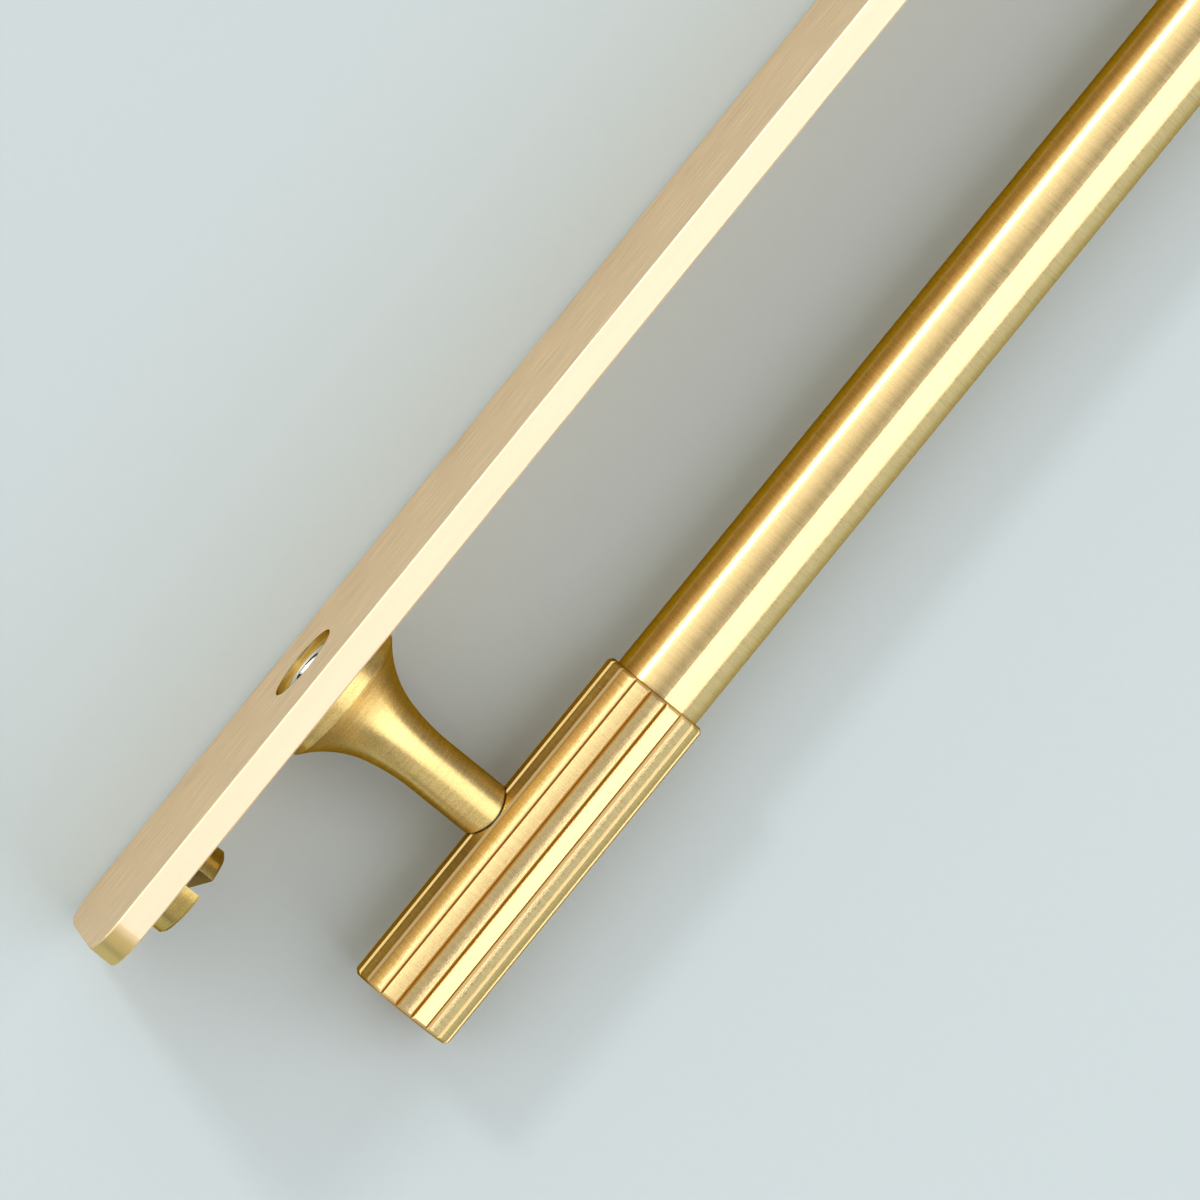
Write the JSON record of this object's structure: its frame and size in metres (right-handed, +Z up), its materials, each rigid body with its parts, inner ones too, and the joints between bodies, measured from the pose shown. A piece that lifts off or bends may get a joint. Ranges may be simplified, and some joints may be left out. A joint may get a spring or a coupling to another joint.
{
  "type": "cabinet handle with backplate",
  "caption": "Straight bar pull for doors and drawers: smooth round rod with fluted end sleeves on flared posts over a long flat backplate, bolted from behind.",
  "frame": {"origin": "centre of the backplate's back face, halfway between the two mounting holes", "axes": "+X along the bar, +Z up across the backplate, +Y into the door; the pull stands out towards -Y"},
  "size_m": [0.2306, 0.036, 0.025],
  "materials": {
    "plate_brass": "brushed along its length, matt lacquer",
    "rod_brass": "fine brushing around the rod",
    "sleeve_brass": "fine turned lands between bright grooves",
    "post_brass": "turned, satin",
    "stud_steel": "plain steel",
    "screw_brass": "turned, satin"
  },
  "bodies": {
    "root": {"backplate": "plate_brass", "grip_rod": "rod_brass", "sleeve_left": "sleeve_brass", "sleeve_right": "sleeve_brass", "post_left": "post_brass", "post_right": "post_brass", "stud_left": "stud_steel", "stud_right": "stud_steel", "end_screw_left": "screw_brass", "end_screw_right": "screw_brass"}
  },
  "joints": []
}
